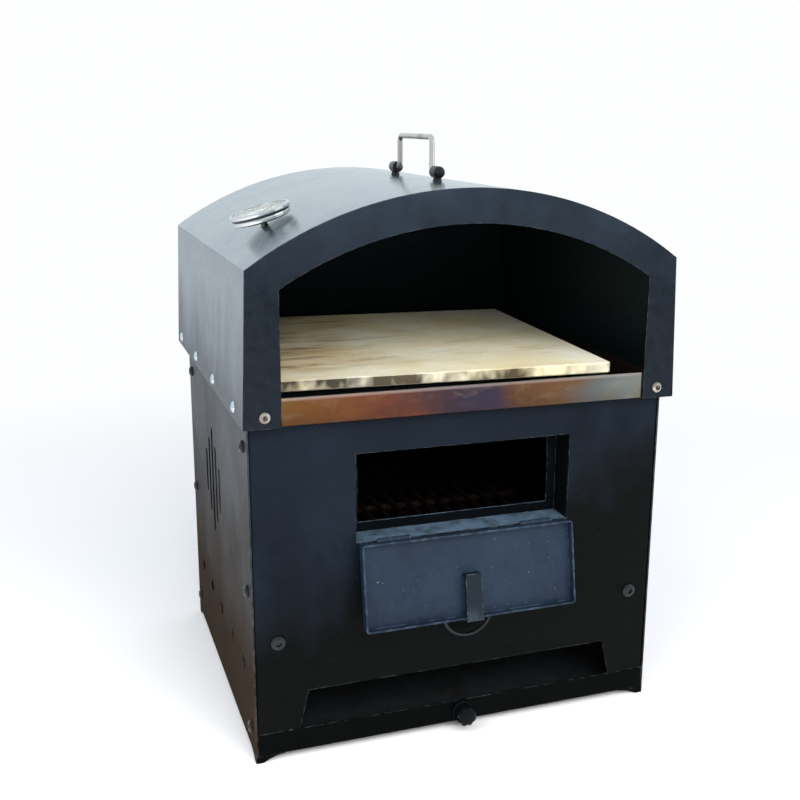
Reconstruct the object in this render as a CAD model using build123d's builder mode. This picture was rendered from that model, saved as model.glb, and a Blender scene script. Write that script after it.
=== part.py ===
from build123d import *
import math
import os

# Outdoor pizza oven: a sheet steel firebox cabinet with a drop-down fire door and an ash drawer,
# under an arched hood with a stone shelf, a roof thermometer and a fold-down carry handle.
# Millimetres. X runs to the right, Y to the back, Z up. The origin is the centre of the
# cabinet's footprint, on the surface that the four corner feet stand on.
# At rest the fire door hangs open and the handle stands up, as the oven is used.

# Cabinet
sheet = 1.5
bend = 3.0
cabinet_width = 390.0
cabinet_depth = 338.0
cabinet_height = 305.0
foot_height = 6.0
foot_leg = 26.0
foot_thickness = 3.0
foot_toe = 7.0
flange = 20.0
top_flange = 16.0
pan_lip = 30.0

# Fire opening, its casing and the fire door
opening_width = 204.0
opening_height = 82.0
opening_drop = 32.0
casing_depth = 26.0
casing_lip = 9.0
door_gap = 1.0
door_depth = 9.5
door_sheet = 1.5
door_open_angle = 170.0
strap_width = 15.5
strap_thickness = 2.0
strap_reach = 41.0
strap_grip = 20.0
ring_radius = 23.5
ring_wire = 3.4
eye_play = 1.5
knuckle_radius = 2.8
pin_radius = 1.4
hinge_length = 29.0
hinge_spacing = 137.0
hinge_leaf = 12.0
leaf_sheet = 1.0
leaf_gap = 0.4
knuckle_gap = 0.2
pin_head_lip = 0.7
pin_head = 0.8

# Ash drawer and its slot
slot_margin = 40.0
slot_slope = 8.5
slot_height = 36.0
strip_height = 21.5
seam = 0.5
drawer_wall = 19.0
drawer_side_gap = 8.0
drawer_end_room = 36.5
knob_radius = 10.5
knob_length = 15.0
knob_flutes = 8
knob_flute_radius = 3.0
knob_flute_offset = 1.4
knob_ease = 1.2
knob_wall = 2.0
knob_screw_gap = 1.0
collar_radius = 12.0
collar_length = 3.0

# Fire grate
grate_rise = 115.0
grate_bar = 6.0
grate_pitch = 18.0
grate_weld = 0.6
grate_cross_inset = 30.0
grate_cross_gap = 1.0
rail_width = 16.0
rail_sheet = 2.0
grate_screw_inset = 22.0
grate_screw_drop = 7.0
grate_screw_head = 14.0

# Side vents
air_hole = 13.0
air_holes = 5
air_hole_pitch = 60.0
air_hole_rise = 70.0
vent_slot_width = 9.0
vent_lengths = [46.0, 78.0, 108.0, 78.0, 46.0]
vent_pitch = 19.0
vent_drop = 106.0
vent_offset = 25.0

# Screws, bolts and rivets
side_screw_inset = 18.0
side_screw_end = 22.0
button_head = 11.0
button_height = 3.0
button_rim = 0.45
button_taper = 38.0
socket_width = 0.24
socket_depth = 0.6
screw_shank = 5.0
screw_reach = 9.0
rivet_head = 10.0
rivet_height = 2.6
rivet_taper = 40.0
rivet_shank = 4.8
rivet_reach = 6.0
rivet_hole = 5.3
rivets_per_side = 4
rivet_front_inset = 43.0
rivet_back_inset = 33.0
rivet_rise = 10.0
hood_bolt_inset = 18.0
hood_bolt_head = 11.0
hood_bolt_reach = 9.0
bolt_nut_radius = 4.4
bolt_nut_height = 4.0

# Hood
hood_overhang = 5.0
hood_step = 14.0
hood_tail = 48.0
hood_sheet = 1.5
face_sheet = 2.0
shoulder_taper = 5.0
shoulder_rise = 129.5
shoulder_mitre = 0.4
arch_rise = 63.0
mouth_jamb = 32.0
mouth_shoulder_drop = 16.0
mouth_brow = 29.5

# Shelf tray, stone rails and stone
tray_sheet = 1.2
tray_lip = 24.5
tray_side_lip = 16.0
tray_edge_gap = 1.0
tray_bend = 2.0
tray_corner_gap = 3.0
fire_gap_side = 45.0
fire_gap_end = 44.0
stone_side_gap = 12.0
stone_back_gap = 54.0
stone_thickness = 10.0
stone_corner = 4.0
stone_ease = 1.0
stone_base = 20.0
stone_front = 34.0
stone_turn = -2.5
rail_inset = 50.0
rail_landing = 20.0
rail_bend = 2.5
stone_rail_width = 20.0

# Handle
handle_setback = 160.0
grip_length = 94.0
handle_rise = 30.5
handle_axis_rise = 8.0
handle_rod = 6.0
handle_bend = 6.0
barrel_radius = 6.5
barrel_length = 26.0
barrel_gap = 7.0
pivot_clearance = 0.05
barrel_ease = 1.0
post_width = 8.0
stud_radius = 3.0
stud_spare = 2.0
nut_width = 10.0
nut_height = 5.0
nut_gap = 0.2

# Thermometer
gauge_inset = 39.0
gauge_setback = 110.0
gauge_lean = 17.0
gauge_radius = 27.2
gauge_thickness = 10.0
gauge_floor = 5.0
gauge_roof_gap = 0.9
gauge_ridge = 1.2
gauge_waist = 1.3
gauge_stem = 3.0
gauge_stem_length = 12.0
gauge_probe = 2.0
gauge_probe_length = 60.0
gauge_nut_width = 12.0
gauge_nut_height = 4.0
gauge_nut_gap = 0.75
gauge_hole_gap = 1.2
bezel_lip = 2.6
dial_gap = 0.1
dial_sheet = 0.6
glass_sheet = 1.5
glass_sink = 2.0
pointer_length = 18.0
pointer_tail = 7.0
pointer_half = 1.4
pointer_hub = 2.2
pointer_sheet = 0.5
pointer_rise = 0.7
pointer_angle = 40.0
spindle_hole = 1.0
spindle_depth = 2.0

# Places worked out from the sizes above
cabinet_bottom = foot_height
cabinet_top = cabinet_bottom + cabinet_height
cabinet_front = -cabinet_depth / 2
cabinet_back = cabinet_depth / 2
side_outer = cabinet_width / 2
side_inner = side_outer - sheet
side_screw_zs = [
    cabinet_top - side_screw_end,
    (cabinet_top + cabinet_bottom) / 2,
    cabinet_bottom + side_screw_end,
]
hood_width = cabinet_width + 2 * hood_overhang
hood_depth = cabinet_depth + hood_step + hood_tail
hood_front_y = cabinet_front - hood_step
hood_back_y = hood_front_y + hood_depth
shoulder_width = hood_width - 2 * shoulder_taper
mouth_width = hood_width - 2 * mouth_jamb
opening_top = cabinet_top - opening_drop
opening_bottom = opening_top - opening_height
panel_bottom = cabinet_bottom + strip_height + seam
slot_top = panel_bottom + slot_height
slot_bottom_width = cabinet_width - 2 * slot_margin
slot_top_width = slot_bottom_width - 2 * slot_slope
drawer_depth = cabinet_depth - sheet - drawer_end_room
pin_y = cabinet_front - knuckle_radius
pin_z = opening_bottom + door_gap
door_height = opening_height - door_gap - strap_thickness - door_gap
door_width = opening_width - 2 * door_gap
grate_top = cabinet_bottom + grate_rise
grate_screw_z = grate_top - grate_screw_drop
air_hole_z = cabinet_bottom + air_hole_rise
roof_radius = ((shoulder_width / 2) ** 2 + arch_rise ** 2) / (2 * arch_rise)
roof_centre_z = cabinet_top + shoulder_rise + arch_rise - roof_radius
roof_top = cabinet_top + shoulder_rise + arch_rise
mouth_spring = cabinet_top + shoulder_rise - mouth_shoulder_drop
mouth_top = roof_top - mouth_brow
rivet_z = cabinet_top + rivet_rise
rivet_pitch = (hood_depth - rivet_front_inset - rivet_back_inset) / (rivets_per_side - 1)
hood_bolt_spread = hood_width - 2 * hood_bolt_inset
fire_gap_width = cabinet_width - 2 * fire_gap_side
fire_gap_depth = cabinet_depth - 2 * fire_gap_end
stone_width = mouth_width - 2 * stone_side_gap
stone_depth = hood_depth - stone_front - stone_back_gap
handle_y = hood_front_y + handle_setback
handle_z = roof_top + handle_axis_rise
stone_z = cabinet_top + stone_base
gauge_x = gauge_inset - shoulder_width / 2
gauge_y = hood_front_y + gauge_setback


def facing(y):
    """Upright plane across the oven at depth y, seen from the front: X right, Z up."""
    return Plane.XZ.offset(-y)


def sideways(x):
    """Upright plane along the oven at x: Y to the right, Z up."""
    return Plane.YZ.offset(x)


def level(z):
    """Horizontal plane at height z."""
    return Plane.XY.offset(z)


def roof_height(x):
    """Height of the roof's outer face at x."""
    return roof_centre_z + math.sqrt(roof_radius ** 2 - x ** 2)


def finish(piece, name):
    """Label a finished piece and write it."""
    piece.part.label = name
    export_step(piece.part, f"parts/{name}.step")


os.makedirs("parts", exist_ok=True)

# Front panel: face, side flanges behind the side panels' edges, and a top flange for the tray.
# The face stops above the ash drawer's strip, and a trapezoid slot is notched in its foot.
with BuildPart() as front_panel:
    with BuildSketch(level(panel_bottom)):
        with BuildLine():
            inner = side_inner
            FilletPolyline(
                (-inner, cabinet_front + flange),
                (-inner, cabinet_front),
                (inner, cabinet_front),
                (inner, cabinet_front + flange),
                radius=bend,
            )
            offset(amount=sheet, side=Side.LEFT)
        make_face()
    extrude(amount=cabinet_top - panel_bottom)
    with BuildSketch(level(cabinet_top - sheet)):
        with Locations((0, cabinet_front + sheet)):
            Rectangle(2 * (side_inner - sheet), top_flange, align=(Align.CENTER, Align.MIN))
    extrude(amount=sheet)
    with BuildSketch(facing(cabinet_front)):
        with Locations((0, (opening_top + opening_bottom) / 2)):
            Rectangle(opening_width, opening_height)
        with BuildLine():
            Polyline(
                (-slot_top_width / 2, slot_top),
                (slot_top_width / 2, slot_top),
                (slot_bottom_width / 2, panel_bottom),
                (-slot_bottom_width / 2, panel_bottom),
                close=True,
            )
        make_face()
        with Locations(
            (grate_screw_inset - side_outer, grate_screw_z),
            (side_outer - grate_screw_inset, grate_screw_z),
        ):
            Circle(screw_shank / 2)
    extrude(amount=-2 * sheet, mode=Mode.SUBTRACT)
    # Below the face the flanges run down to the base pan, clear of the drawer's strip.
    with BuildSketch(level(cabinet_bottom)):
        for side in (-1, 1):
            with Locations((side * (side_inner - sheet / 2), cabinet_front + bend)):
                Rectangle(sheet, flange - bend, align=(Align.CENTER, Align.MIN))
    extrude(amount=panel_bottom - cabinet_bottom)
    with BuildSketch(sideways(-side_outer)):
        for screw_z in side_screw_zs:
            with Locations((cabinet_front + side_screw_inset, screw_z)):
                Circle(screw_shank / 2)
    extrude(amount=cabinet_width, mode=Mode.SUBTRACT)
finish(front_panel, "front_panel")

# Back panel: a plain face with the same flanges over its full height.
with BuildPart() as back_panel:
    with BuildSketch(level(cabinet_bottom)):
        with BuildLine():
            FilletPolyline(
                (side_inner, cabinet_back - flange),
                (side_inner, cabinet_back),
                (-side_inner, cabinet_back),
                (-side_inner, cabinet_back - flange),
                radius=bend,
            )
            offset(amount=sheet, side=Side.LEFT)
        make_face()
    extrude(amount=cabinet_height)
    with BuildSketch(level(cabinet_top - sheet)):
        with Locations((0, cabinet_back - sheet)):
            Rectangle(2 * (side_inner - sheet), top_flange, align=(Align.CENTER, Align.MAX))
    extrude(amount=sheet)
    with BuildSketch(sideways(-side_outer)):
        for screw_z in side_screw_zs:
            with Locations((cabinet_back - side_screw_inset, screw_z)):
                Circle(screw_shank / 2)
    extrude(amount=cabinet_width, mode=Mode.SUBTRACT)
    with BuildSketch(facing(cabinet_back)):
        with Locations((0, grate_screw_z)):
            with GridLocations(cabinet_width - 2 * grate_screw_inset, 0, 2, 1):
                Circle(screw_shank / 2)
    extrude(amount=2 * sheet, mode=Mode.SUBTRACT)
finish(back_panel, "back_panel")

# Side panels: flat sheets with a fan of upright vent slots, a row of air holes for the fire
# and three screw holes along each upright edge.
with BuildPart() as side_panel:
    with BuildSketch(sideways(side_inner)):
        with Locations((0, cabinet_bottom)):
            Rectangle(cabinet_depth, cabinet_height, align=(Align.CENTER, Align.MIN))
        with Locations((0, air_hole_z)):
            with GridLocations(air_hole_pitch, 0, air_holes, 1):
                Circle(air_hole / 2, mode=Mode.SUBTRACT)
        for number, length in enumerate(vent_lengths):
            across = vent_offset + (number - (len(vent_lengths) - 1) / 2) * vent_pitch
            with Locations((across, cabinet_top - vent_drop)):
                SlotOverall(length, vent_slot_width, rotation=90, mode=Mode.SUBTRACT)
        for screw_z in side_screw_zs:
            with Locations(
                (cabinet_front + side_screw_inset, screw_z),
                (cabinet_back - side_screw_inset, screw_z),
            ):
                Circle(screw_shank / 2, mode=Mode.SUBTRACT)
    extrude(amount=sheet)
finish(side_panel, "side_panel_right")

with BuildPart() as side_panel_left:
    add(mirror(side_panel.part, about=Plane.YZ, mode=Mode.PRIVATE))
finish(side_panel_left, "side_panel_left")

# Base pan: the cabinet's floor with its side lips inside the flanges and a low back lip.
with BuildPart() as base_pan:
    pan_half = side_inner - sheet
    pan_back = cabinet_back - sheet
    with BuildSketch(facing(cabinet_front + 2 * sheet)):
        with BuildLine():
            FilletPolyline(
                (-pan_half, cabinet_bottom + pan_lip),
                (-pan_half, cabinet_bottom),
                (pan_half, cabinet_bottom),
                (pan_half, cabinet_bottom + pan_lip),
                radius=bend,
            )
            offset(amount=sheet, side=Side.LEFT)
        make_face()
    extrude(amount=-(cabinet_depth - 4 * sheet))
    with BuildSketch(facing(pan_back - sheet)):
        with Locations((0, cabinet_bottom)):
            Rectangle(2 * (pan_half - bend), pan_lip, align=(Align.CENTER, Align.MIN))
    extrude(amount=-sheet)
    with BuildSketch(sideways(-side_outer)):
        with Locations((0, side_screw_zs[-1])):
            with GridLocations(cabinet_depth - 2 * side_screw_inset, 0, 2, 1):
                Circle(screw_shank / 2)
    extrude(amount=cabinet_width, mode=Mode.SUBTRACT)
finish(base_pan, "base_pan")

# Corner feet: small angle pieces whose lower edges sweep up from a short toe at the corner.
with BuildPart() as feet:
    with BuildSketch(facing(cabinet_front)):
        with BuildLine():
            toe = side_outer - foot_toe
            end = side_outer - foot_leg
            Polyline((toe, 0), (side_outer, 0), (side_outer, foot_height), (end, foot_height))
            TangentArc((end, foot_height), (toe, 0), tangent=(1, 0))
        make_face()
    extrude(amount=-foot_thickness)
    with BuildSketch(sideways(side_outer)):
        with BuildLine():
            heel = cabinet_front + foot_toe
            tail = cabinet_front + foot_leg
            Polyline((heel, 0), (cabinet_front, 0), (cabinet_front, foot_height), (tail, foot_height))
            TangentArc((tail, foot_height), (heel, 0), tangent=(-1, 0))
        make_face()
    extrude(amount=-foot_thickness)
    mirror(about=Plane.XZ)
    mirror(about=Plane.YZ)
finish(feet, "corner_feet")

# Casing round the fire opening: four walls that run back from the panel, with an inner lip.
with BuildPart() as casing:
    with BuildSketch(facing(cabinet_front + sheet)):
        with Locations((0, (opening_top + opening_bottom) / 2)):
            Rectangle(opening_width + 2 * sheet, opening_height + 2 * sheet)
            Rectangle(opening_width, opening_height, mode=Mode.SUBTRACT)
    extrude(amount=-casing_depth)
    with BuildSketch(facing(cabinet_front + sheet + casing_depth)):
        with Locations((0, (opening_top + opening_bottom) / 2)):
            Rectangle(opening_width + 2 * sheet, opening_height + 2 * sheet)
            Rectangle(
                opening_width - 2 * casing_lip,
                opening_height - 2 * casing_lip,
                mode=Mode.SUBTRACT,
            )
    extrude(amount=-sheet)
finish(casing, "fire_casing")

# The fire door and what it carries are drawn shut, then turned about the hinge pins so that
# the door hangs open in front of the panel.
hinge_axis = Axis((0, pin_y, pin_z), (1, 0, 0))
door_bottom = pin_z
door_top = door_bottom + door_height


def hang_open(part):
    """Turn a piece drawn on the shut door to the open door's angle."""
    return part.rotate(hinge_axis, door_open_angle)


# Door: a shallow pressed pan, its rim turned towards the fire.
with BuildPart() as door_shut:
    with BuildSketch(facing(cabinet_front)):
        with Locations((0, (door_bottom + door_top) / 2)):
            RectangleRounded(door_width, door_height, bend)
    extrude(amount=-door_depth)
    offset(amount=-door_sheet, openings=door_shut.faces().sort_by(Axis.Y)[-1])

with BuildPart() as fire_door:
    add(hang_open(door_shut.part))
finish(fire_door, "fire_door")

# Door strap: a folded bar that bridges the pan, wraps the free edge and ends in an eye
# on the outside that carries the ring.
eye_radius = ring_wire / 2 + eye_play
eye_outer = eye_radius + strap_thickness
eye_y = cabinet_front - eye_outer
eye_z = door_top - strap_grip - eye_outer
inside_y = cabinet_front + door_depth
with BuildPart() as strap_shut:
    with BuildSketch(sideways(-strap_width / 2)):
        with BuildLine():
            Polyline(
                (cabinet_front + door_sheet, door_top - strap_reach),
                (inside_y + strap_thickness, door_top - strap_reach),
                (inside_y + strap_thickness, door_top + strap_thickness),
                (cabinet_front - strap_thickness, door_top + strap_thickness),
                (cabinet_front - strap_thickness, eye_z),
                (cabinet_front, eye_z),
                (cabinet_front, door_top),
                (inside_y, door_top),
                (inside_y, door_top - strap_reach + strap_thickness),
                (cabinet_front + door_sheet, door_top - strap_reach + strap_thickness),
                close=True,
            )
        make_face()
        with Locations((eye_y, eye_z)):
            Circle(eye_outer)
            Circle(eye_radius, mode=Mode.SUBTRACT)
    extrude(amount=strap_width)

with BuildPart() as door_strap:
    add(hang_open(strap_shut.part))
finish(door_strap, "door_strap")

# Ring pull: a round wire ring that hangs plumb through the strap's eye.
eye_open = Vertex(0, eye_y, eye_z).rotate(hinge_axis, door_open_angle).center()
with BuildPart() as ring:
    ring_centre_z = eye_open.Z - ring_radius + eye_play / 2
    with BuildSketch(sideways(0)):
        with Locations((eye_open.Y, ring_centre_z + ring_radius)):
            Circle(ring_wire / 2)
    revolve(axis=Axis((0, eye_open.Y, ring_centre_z), (0, 1, 0)))
finish(ring, "door_ring")


def hinge_half(first, count, leaf_side):
    """One half of a butt hinge at x = 0: a leaf on the panel's plane with its knuckles."""
    fifth = hinge_length / 5
    starts = [-hinge_length / 2 + (first + 2 * number) * fifth for number in range(count)]
    spread = knuckle_radius + leaf_gap
    with BuildPart() as half:
        with BuildSketch(facing(cabinet_front)):
            with Locations((0, pin_z + leaf_side * (spread + hinge_leaf) / 2)):
                Rectangle(hinge_length - knuckle_gap, hinge_leaf - spread)
            for start in starts:
                with Locations((start + fifth / 2, pin_z + leaf_side * spread / 2)):
                    Rectangle(fifth - knuckle_gap, spread)
        extrude(amount=leaf_sheet)
        for start in starts:
            with BuildSketch(sideways(start + knuckle_gap / 2)):
                with Locations((pin_y, pin_z)):
                    Circle(knuckle_radius)
            extrude(amount=fifth - knuckle_gap)
        with BuildSketch(sideways(-hinge_length / 2)):
            with Locations((pin_y, pin_z)):
                Circle(pin_radius + pivot_clearance)
        extrude(amount=hinge_length, mode=Mode.SUBTRACT)
    return half.part


hinge_places = [(-hinge_spacing / 2, 0, 0), (hinge_spacing / 2, 0, 0)]

# Frame leaves: flat on the panel below the opening, with three knuckles each.
with BuildPart() as frame_leaves:
    with Locations(*hinge_places):
        add(hinge_half(0, 3, -1))
finish(frame_leaves, "hinge_frame_leaves")

# Door leaves: on the outside of the shut door, with two knuckles each.
with BuildPart() as door_leaves_shut:
    with Locations(*hinge_places):
        add(hinge_half(1, 2, 1))

with BuildPart() as door_leaves:
    add(hang_open(door_leaves_shut.part))
finish(door_leaves, "hinge_door_leaves")

# Hinge pins, headed at both ends.
with BuildPart() as hinge_pins:
    for hinge_x in (-hinge_spacing / 2, hinge_spacing / 2):
        with BuildSketch(sideways(hinge_x - hinge_length / 2)):
            with Locations((pin_y, pin_z)):
                Circle(pin_radius)
        extrude(amount=hinge_length)
        for end_x, outward in ((hinge_x - hinge_length / 2, -1), (hinge_x + hinge_length / 2, 1)):
            with BuildSketch(sideways(end_x)):
                with Locations((pin_y, pin_z)):
                    Circle(pin_radius + pin_head_lip)
            extrude(amount=outward * pin_head)
finish(hinge_pins, "hinge_pins")

# Ash drawer: an open tray that runs on the base pan between the feet and the pan's lips.
drawer_half = side_inner - sheet - drawer_side_gap
drawer_floor = cabinet_bottom + sheet + seam
drawer_front = cabinet_front + sheet
with BuildPart() as ash_drawer:
    with BuildSketch(level(drawer_floor)):
        with Locations((0, drawer_front)):
            Rectangle(2 * drawer_half, drawer_depth, align=(Align.CENTER, Align.MIN))
    extrude(amount=drawer_wall)
    upright = ash_drawer.edges().filter_by(Axis.Z)
    fillet(upright, radius=bend)
    offset(amount=-sheet, openings=ash_drawer.faces().sort_by(Axis.Z)[-1])
    with BuildSketch(facing(drawer_front)):
        with Locations((0, cabinet_bottom + seam + strip_height / 2)):
            Circle(screw_shank / 2)
    extrude(amount=-2 * sheet, mode=Mode.SUBTRACT)
finish(ash_drawer, "ash_drawer")

# Drawer strip: the full-width front that closes the cabinet's foot.
strip_middle = cabinet_bottom + seam + strip_height / 2
with BuildPart() as drawer_strip:
    with BuildSketch(facing(cabinet_front)):
        with Locations((0, strip_middle)):
            Rectangle(2 * (side_inner - seam), strip_height - seam)
            Circle(screw_shank / 2, mode=Mode.SUBTRACT)
    extrude(amount=-sheet)
finish(drawer_strip, "drawer_strip")

# Drawer knob: a fluted grip on a round collar.
with BuildPart() as knob:
    with BuildSketch(facing(cabinet_front)):
        with Locations((0, strip_middle)):
            Circle(collar_radius)
    extrude(amount=collar_length)
    with BuildSketch(facing(cabinet_front - collar_length)):
        with Locations((0, strip_middle)):
            Circle(knob_radius)
            with PolarLocations(knob_radius + knob_flute_offset, knob_flutes):
                Circle(knob_flute_radius, mode=Mode.SUBTRACT)
    extrude(amount=knob_length)
    front_rim = knob.faces().sort_by(Axis.Y)[0].edges()
    chamfer(front_rim, length=knob_ease)
    with BuildSketch(facing(cabinet_front)):
        with Locations((0, strip_middle)):
            Circle(screw_shank / 2)
    extrude(amount=knob_length - knob_wall, mode=Mode.SUBTRACT)
finish(knob, "drawer_knob")

# Knob screw: from inside the drawer through the strip into the knob.
with BuildPart() as knob_screw:
    with BuildSketch(facing(drawer_front + sheet)):
        with Locations((0, strip_middle)):
            Circle(button_head / 2)
    extrude(amount=-button_height)
    with BuildSketch(facing(drawer_front + sheet)):
        with Locations((0, strip_middle)):
            Circle(screw_shank / 2)
    extrude(amount=2 * sheet + knob_length - knob_wall - knob_screw_gap)
finish(knob_screw, "knob_screw")

# Grate rails: angle pieces between the front and back panels, with an end tab for each screw.
rail_outer = side_outer - grate_screw_inset + rail_width / 2
rail_front = cabinet_front + sheet
rail_back = cabinet_back - sheet
with BuildPart() as grate_rail_right:
    with BuildSketch(facing(rail_front)):
        with BuildLine():
            Polyline(
                (rail_outer - rail_width, grate_top),
                (rail_outer, grate_top),
                (rail_outer, grate_top - rail_width),
                (rail_outer - rail_sheet, grate_top - rail_width),
                (rail_outer - rail_sheet, grate_top - rail_sheet),
                (rail_outer - rail_width, grate_top - rail_sheet),
                close=True,
            )
        make_face()
    extrude(amount=-(rail_back - rail_front))
    for tab_y in (rail_front, rail_back - rail_sheet):
        with BuildSketch(facing(tab_y)):
            with Locations((rail_outer - rail_width / 2, grate_top - rail_width / 2)):
                Rectangle(rail_width, rail_width)
            with Locations((side_outer - grate_screw_inset, grate_screw_z)):
                Circle(screw_shank / 2, mode=Mode.SUBTRACT)
        extrude(amount=-rail_sheet)
finish(grate_rail_right, "grate_rail_right")

with BuildPart() as grate_rail_left:
    add(mirror(grate_rail_right.part, about=Plane.YZ, mode=Mode.PRIVATE))
finish(grate_rail_left, "grate_rail_left")

# Fire grate: round bars from front to back, welded on two cross bars that lie on the rails.
grate_length = cabinet_depth - 2 * (casing_depth + 3 * sheet)
grate_bars = 2 * int((rail_outer - rail_width - grate_bar) / grate_pitch) + 1
cross_length = 2 * (rail_outer - rail_sheet - grate_cross_gap)
bar_z = grate_top + 1.5 * grate_bar - grate_weld
with BuildPart() as grate:
    with BuildSketch(facing(-grate_length / 2)):
        with Locations((0, bar_z)):
            with GridLocations(grate_pitch, 0, grate_bars, 1):
                Circle(grate_bar / 2)
    extrude(amount=-grate_length)
    for cross_y in (grate_cross_inset - grate_length / 2, grate_length / 2 - grate_cross_inset):
        with BuildSketch(facing(cross_y)):
            with Locations((0, grate_top)):
                Rectangle(cross_length, grate_bar, align=(Align.CENTER, Align.MIN))
        extrude(amount=-grate_bar)
finish(grate, "fire_grate")


def button_screw(head, height, shank, reach):
    """A socket button screw: head above the XY plane, shank below it."""
    with BuildPart() as screw:
        with BuildSketch(Plane.XY):
            Circle(head / 2)
        extrude(amount=height * button_rim)
        with BuildSketch(Plane.XY.offset(height * button_rim)):
            Circle(head / 2)
        extrude(amount=height * (1 - button_rim), taper=button_taper)
        with BuildSketch(Plane.XY.offset(height)):
            RegularPolygon(head * socket_width, 6)
        extrude(amount=-height * socket_depth, mode=Mode.SUBTRACT)
        with BuildSketch(Plane.XY):
            Circle(shank / 2)
        extrude(amount=-reach)
    return screw.part


# Side screws: three through each upright edge of both side panels into the panel flanges.
side_edges = (cabinet_front + side_screw_inset, cabinet_back - side_screw_inset)
for side, name in ((-1, "side_screws_left"), (1, "side_screws_right")):
    seats = [
        Plane((side * side_outer, edge_y, screw_z), z_dir=(side, 0, 0))
        for edge_y in side_edges
        for screw_z in side_screw_zs
    ]
    with BuildPart() as side_screws:
        with Locations(*seats):
            add(button_screw(button_head, button_height, screw_shank, screw_reach))
    finish(side_screws, name)

# Grate screws: through the front and back panels into the tabs of the grate rails.
with BuildPart() as grate_screws:
    seats = [
        Plane((screw_x, end * cabinet_depth / 2, grate_screw_z), z_dir=(0, end, 0))
        for screw_x in (grate_screw_inset - side_outer, side_outer - grate_screw_inset)
        for end in (-1, 1)
    ]
    with Locations(*seats):
        add(button_screw(grate_screw_head, button_height, screw_shank, screw_reach))
finish(grate_screws, "grate_screws")


def hood_outline(inset):
    """The hood's section seen from the front, inset from its outer face."""
    base = hood_width / 2 - inset
    shoulder = shoulder_width / 2 - inset
    rise = cabinet_top + shoulder_rise - inset * shoulder_mitre
    with BuildSketch(Plane.XY) as outline:
        with BuildLine():
            left = Line((-base, cabinet_top), (-shoulder, rise))
            ThreePointArc(left @ 1, (0, roof_top - inset), (shoulder, rise))
            right = Line((shoulder, rise), (base, cabinet_top))
            Line(right @ 1, left @ 0)
        make_face()
    return outline.sketch


# Hood face: the arched front with its arched mouth between two legs.
with BuildPart() as hood_face:
    with BuildSketch(facing(hood_front_y)):
        add(hood_outline(0))
        with BuildLine():
            half = mouth_width / 2
            Line((-half, cabinet_top), (-half, mouth_spring))
            ThreePointArc((-half, mouth_spring), (0, mouth_top), (half, mouth_spring))
            Line((half, mouth_spring), (half, cabinet_top))
            Line((half, cabinet_top), (-half, cabinet_top))
        make_face(mode=Mode.SUBTRACT)
        with Locations((0, rivet_z)):
            with GridLocations(hood_bolt_spread, 0, 2, 1):
                Circle(screw_shank / 2, mode=Mode.SUBTRACT)
    extrude(amount=-face_sheet)
finish(hood_face, "hood_face")

# Hood shell: one sheet folded over the sides and rolled over the roof.
shell_front = hood_front_y + face_sheet
shell_back = hood_back_y - hood_sheet
rivet_first = hood_front_y + rivet_front_inset
rivet_ys = [rivet_first + number * rivet_pitch for number in range(rivets_per_side)]
handle_posts = [
    handle_y + end * (grip_length / 2 + barrel_gap + barrel_length / 2) for end in (-1, 1)
]
lean = math.radians(gauge_lean)
gauge_normal = Vector(-math.sin(lean), 0, math.cos(lean))
gauge_foot = Vector(gauge_x, gauge_y, roof_height(gauge_x))
with BuildPart() as hood_shell:
    with BuildSketch(facing(shell_front)):
        add(hood_outline(0))
        add(hood_outline(hood_sheet), mode=Mode.SUBTRACT)
    extrude(amount=-(shell_back - shell_front))
    with BuildSketch(sideways(-hood_width / 2)):
        with Locations(*[(y, rivet_z) for y in rivet_ys]):
            Circle(rivet_hole / 2)
    extrude(amount=hood_width, mode=Mode.SUBTRACT)
    with BuildSketch(level(roof_top)):
        with Locations(*[(0, y) for y in handle_posts]):
            Circle(stud_radius)
    extrude(amount=-2 * hood_sheet, mode=Mode.SUBTRACT)
    with BuildSketch(Plane(gauge_foot, z_dir=gauge_normal)):
        Circle(gauge_stem + gauge_hole_gap)
    extrude(amount=3 * hood_sheet, both=True, mode=Mode.SUBTRACT)
finish(hood_shell, "hood_shell")

# Hood back: a plain arched plate.
with BuildPart() as hood_back:
    with BuildSketch(facing(shell_back)):
        add(hood_outline(0))
    extrude(amount=-hood_sheet)
finish(hood_back, "hood_back")

# Shelf tray: stainless floor of the oven with a deep front lip, side and back lips, and a
# large gap over the fire.
tray_front = hood_front_y + face_sheet
tray_back = shell_back
tray_half = hood_width / 2 - hood_sheet - tray_edge_gap
with BuildPart() as tray:
    with BuildSketch(sideways(-tray_half)):
        with BuildLine():
            FilletPolyline(
                (tray_front, cabinet_top + tray_lip),
                (tray_front, cabinet_top),
                (tray_back, cabinet_top),
                (tray_back, cabinet_top + tray_side_lip),
                radius=tray_bend,
            )
            offset(amount=tray_sheet, side=Side.LEFT)
        make_face()
    extrude(amount=2 * tray_half)
    for side in (-1, 1):
        with BuildSketch(sideways(side * tray_half)):
            with Locations(((tray_front + tray_back) / 2, cabinet_top)):
                Rectangle(
                    tray_back - tray_front - 2 * tray_corner_gap,
                    tray_side_lip,
                    align=(Align.CENTER, Align.MIN),
                )
        extrude(amount=-side * tray_sheet)
    with BuildSketch(level(cabinet_top)):
        Rectangle(fire_gap_width, fire_gap_depth)
    extrude(amount=tray_sheet, mode=Mode.SUBTRACT)
    with BuildSketch(sideways(-tray_half)):
        with Locations(*[(y, rivet_z) for y in rivet_ys]):
            Circle(rivet_hole / 2)
    extrude(amount=2 * tray_half, mode=Mode.SUBTRACT)
    with BuildSketch(facing(tray_front)):
        with Locations((0, rivet_z)):
            with GridLocations(hood_bolt_spread, 0, 2, 1):
                Circle(screw_shank / 2)
    extrude(amount=-2 * tray_sheet, mode=Mode.SUBTRACT)
finish(tray, "shelf_tray")

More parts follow.
